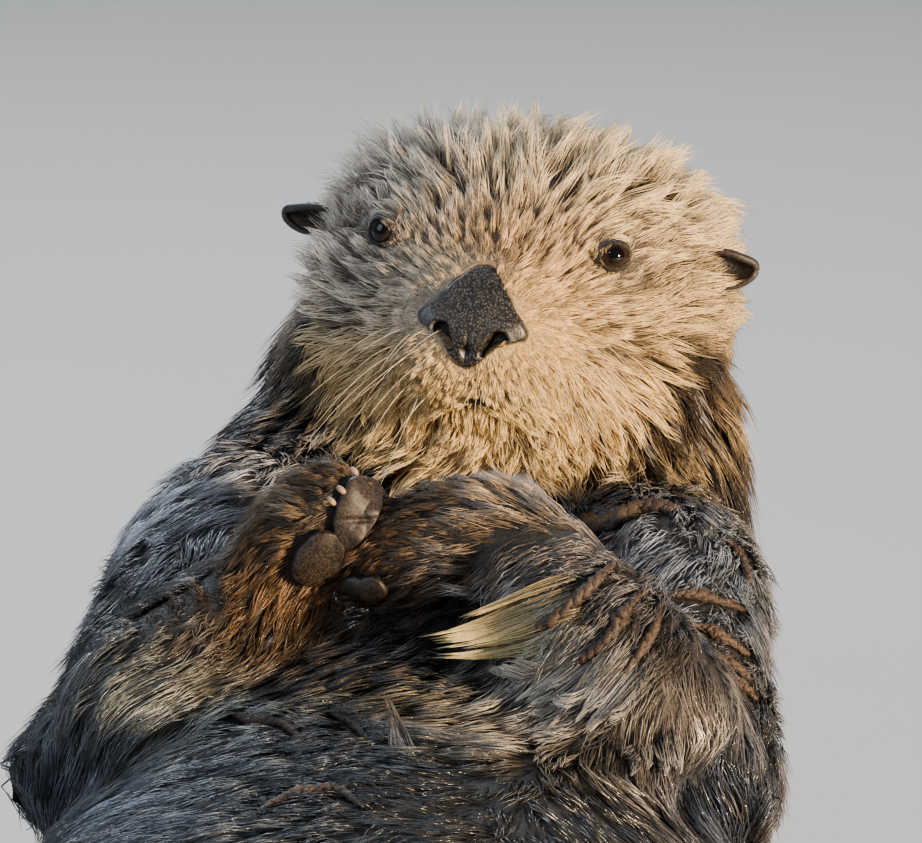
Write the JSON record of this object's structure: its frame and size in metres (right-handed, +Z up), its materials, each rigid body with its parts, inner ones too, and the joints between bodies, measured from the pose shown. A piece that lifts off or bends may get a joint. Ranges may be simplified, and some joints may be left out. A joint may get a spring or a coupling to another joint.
{
  "type": "life-size sea otter model",
  "caption": "Life-size still model of a sea otter lying on its back, head raised and forepaws held together on its chest.",
  "frame": {"origin": "middle of the animal's base, on the floor it lies on", "axes": "+X to the otter's own left, +Y from its tail towards its head, +Z up out of the floor it lies on"},
  "size_m": [0.376, 1.023, 0.3934],
  "materials": {
    "pale_fur": "pale cream fur in damp pointed tufts, browner at the roots",
    "dark_fur": "wet dark grey-brown fur with a slick sheen",
    "brown_fur": "short brown fur with pale tips",
    "web_skin": "dark short-furred webbed skin",
    "nose_skin": "charcoal pebbled bare skin",
    "ear_skin": "dark leathery skin with a fold",
    "eye_ball": "glossy dark brown eye"
  },
  "bodies": {
    "root": {"head": "pale_fur", "nose": "nose_skin", "eye_left": "eye_ball", "eye_right": "eye_ball", "ear_left": "ear_skin", "ear_right": "ear_skin", "neck": "brown_fur", "chest": "dark_fur", "belly": "dark_fur", "rump": "dark_fur", "tail": "dark_fur", "upper_arm_left": "dark_fur", "upper_arm_right": "dark_fur", "forearm_left": "dark_fur", "forearm_right": "dark_fur", "forepaw_left": "brown_fur", "forepaw_right": "brown_fur", "hind_leg_left": "dark_fur", "hind_leg_right": "dark_fur", "hind_foot_left": "web_skin", "hind_foot_right": "web_skin"}
  },
  "joints": []
}
